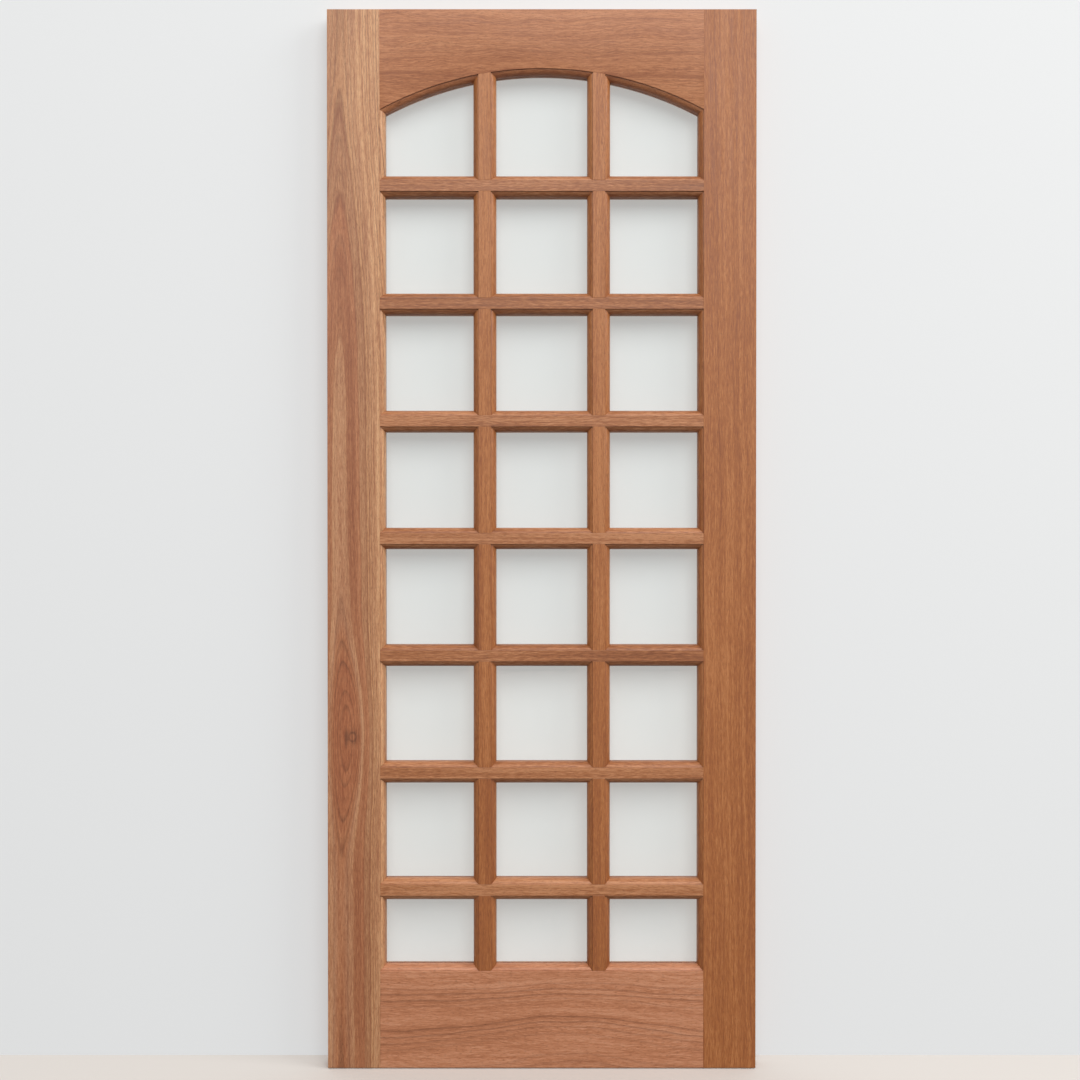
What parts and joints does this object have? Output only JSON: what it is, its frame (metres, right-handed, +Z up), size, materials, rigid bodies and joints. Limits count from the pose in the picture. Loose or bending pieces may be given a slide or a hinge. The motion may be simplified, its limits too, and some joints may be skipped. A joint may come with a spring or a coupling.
{
  "type": "glazed door",
  "caption": "Timber door leaf with small clear panes between moulded bars, an arched head to the glazing, plain stiles and a deep bottom rail; unhung, with no hardware.",
  "frame": {"origin": "on the hinge edge, the left edge seen from the front, at its foot and midway through the thickness", "axes": "+X across the leaf towards the lock edge, +Y from the front face to the back, +Z up the leaf"},
  "size_m": [0.826, 0.044, 2.04],
  "materials": {
    "door_timber": "planed and sanded red-brown hardwood, bare",
    "bead_timber": "planed and sanded red-brown hardwood, bare",
    "pane_glass": "clear float glass"
  },
  "bodies": {
    "root": {"left_stile": "door_timber", "right_stile": "door_timber", "top_rail": "door_timber", "bottom_rail": "door_timber", "cross_bar_1": "door_timber", "cross_bar_2": "door_timber", "cross_bar_3": "door_timber", "cross_bar_4": "door_timber", "cross_bar_5": "door_timber", "cross_bar_6": "door_timber", "cross_bar_7": "door_timber", "left_uprights": "door_timber", "right_uprights": "door_timber", "pane_row_1_left": "pane_glass", "pane_row_1_middle": "pane_glass", "pane_row_1_right": "pane_glass", "pane_row_2_left": "pane_glass", "pane_row_2_middle": "pane_glass", "pane_row_2_right": "pane_glass", "pane_row_3_left": "pane_glass", "pane_row_3_middle": "pane_glass", "pane_row_3_right": "pane_glass", "pane_row_4_left": "pane_glass", "pane_row_4_middle": "pane_glass", "pane_row_4_right": "pane_glass", "pane_row_5_left": "pane_glass", "pane_row_5_middle": "pane_glass", "pane_row_5_right": "pane_glass", "pane_row_6_left": "pane_glass", "pane_row_6_middle": "pane_glass", "pane_row_6_right": "pane_glass", "pane_row_7_left": "pane_glass", "pane_row_7_middle": "pane_glass", "pane_row_7_right": "pane_glass", "pane_row_8_left": "pane_glass", "pane_row_8_middle": "pane_glass", "pane_row_8_right": "pane_glass", "beads_row_1": "bead_timber", "beads_row_2": "bead_timber", "beads_row_3": "bead_timber", "beads_row_4": "bead_timber", "beads_row_5": "bead_timber", "beads_row_6": "bead_timber", "beads_row_7": "bead_timber", "beads_row_8": "bead_timber"}
  },
  "joints": []
}
